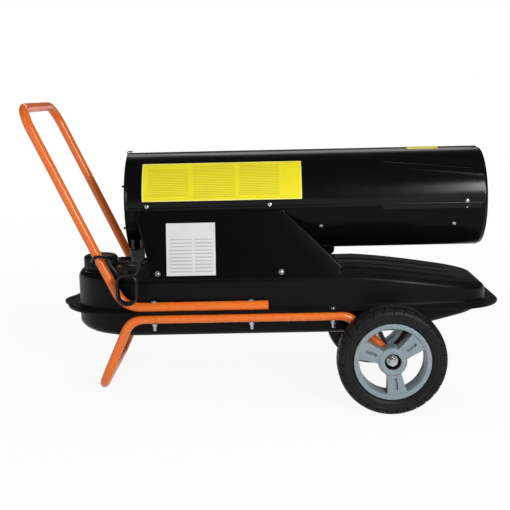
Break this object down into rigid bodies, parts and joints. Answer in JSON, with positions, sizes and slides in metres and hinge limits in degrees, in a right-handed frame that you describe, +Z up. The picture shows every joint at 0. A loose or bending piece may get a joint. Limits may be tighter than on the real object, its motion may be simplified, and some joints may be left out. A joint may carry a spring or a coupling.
{
  "type": "forced air heater",
  "caption": "Wheeled fuel-fired forced air heater: round barrel over a flat pressed tank, raked tube handle, tube leg frame and spoked wheels.",
  "frame": {"origin": "on the ground under the middle of the heater's bounding box, without its cord, as it stands on its leg and wheels", "axes": "+X towards the hot air outlet, +Y to the side with the thermostat and switch, +Z up"},
  "size_m": [1.141, 0.496, 0.6611],
  "materials": {
    "barrel_paint": "semi-gloss black enamel",
    "cabinet_paint": "satin black powder coat",
    "tank_paint": "satin black powder coat",
    "orange_paint": "gloss orange enamel",
    "zinc": "bright zinc plate",
    "chamber_steel": "heat tinted stainless sheet",
    "motor_steel": "dark grey enamel",
    "fan_aluminium": "rolled",
    "brass": "turned",
    "ceramic": "glazed",
    "board": "lacquered",
    "dark_plastic": "moulded",
    "switch_plastic": "moulded",
    "rubber": "matt",
    "cord_rubber": "semi-matt",
    "tyre_rubber": "matt, ribbed shoulders",
    "rim_plastic": "moulded blue-grey"
  },
  "bodies": {
    "chassis": {"tank_upper_half": "tank_paint", "tank_lower_half": "tank_paint", "filler_neck": "tank_paint", "fuel_strainer": "dark_plastic", "drain_plug": "zinc", "fuel_pickup": "brass", "barrel_upper_shell": "barrel_paint", "barrel_lower_shell": "barrel_paint", "outlet_ring": "barrel_paint", "combustion_chamber": "chamber_steel", "chamber_clip_rear": "chamber_steel", "chamber_clip_front": "chamber_steel", "flame_plate": "chamber_steel", "burner_head": "chamber_steel", "nozzle_holder": "brass", "igniter": "ceramic", "photocell": "dark_plastic", "motor": "motor_steel", "motor_bracket": "zinc", "air_pump": "zinc", "pressure_gauge": "brass", "fan_guard": "barrel_paint", "side_cover_near": "cabinet_paint", "side_cover_far": "cabinet_paint", "cabinet_front": "cabinet_paint", "cabinet_rear": "cabinet_paint", "cabinet_base": "zinc", "ignition_transformer": "dark_plastic", "control_board": "board", "motor_capacitor": "ceramic", "thermostat": "dark_plastic", "switch_housing": "dark_plastic", "cord_gland": "rubber", "fuel_hose": "rubber", "air_hose": "rubber", "handle_frame": "orange_paint", "leg_frame": "orange_paint", "frame_bolt_near_1": "zinc", "frame_bolt_near_2": "zinc", "frame_bolt_near_3": "zinc", "frame_bolt_far_1": "zinc", "frame_bolt_far_2": "zinc", "frame_bolt_far_3": "zinc", "axle": "zinc", "axle_nut_near": "zinc", "axle_nut_far": "zinc", "cord_lead": "cord_rubber", "cord_hank": "cord_rubber", "cord_tail": "cord_rubber", "power_plug": "cord_rubber"},
    "wheel_near": {"tyre_near": "tyre_rubber", "rim_near": "rim_plastic"},
    "wheel_far": {"tyre_far": "tyre_rubber", "rim_far": "rim_plastic"},
    "fan_rotor": {"fan": "fan_aluminium"},
    "fuel_cap_body": {"fuel_cap": "dark_plastic"},
    "knob_body": {"thermostat_knob": "dark_plastic"},
    "rocker_body": {"power_switch": "switch_plastic"}
  },
  "joints": [
    {"name": "wheel_near_spin", "type": "hinge", "parent": "chassis", "child": "wheel_near", "pos_m": [0.30315, -0.217, 0.125], "axis": [0, 1, 0], "continuous": true},
    {"name": "wheel_far_spin", "type": "hinge", "parent": "chassis", "child": "wheel_far", "pos_m": [0.30315, 0.217, 0.125], "axis": [0, 1, 0], "continuous": true},
    {"name": "fan_spin", "type": "hinge", "parent": "chassis", "child": "fan_rotor", "pos_m": [-0.11426, 0, 0.44534], "axis": [0.9978, 0, 0.067], "continuous": true},
    {"name": "fuel_cap_lift", "type": "slide", "parent": "chassis", "child": "fuel_cap_body", "axis": [-0.067, 0, 0.9978], "range_m": [0, 0.08]},
    {"name": "thermostat_turn", "type": "hinge", "parent": "chassis", "child": "knob_body", "pos_m": [-0.18375, 0.13554, 0.36089], "axis": [-0.0129, 0.9813, 0.1921], "range_deg": [0, 270]},
    {"name": "power_switch_tip", "type": "hinge", "parent": "chassis", "child": "rocker_body", "pos_m": [-0.10588, 0.13162, 0.36535], "axis": [0.9978, 0, 0.067], "range_deg": [-8, 8]}
  ]
}
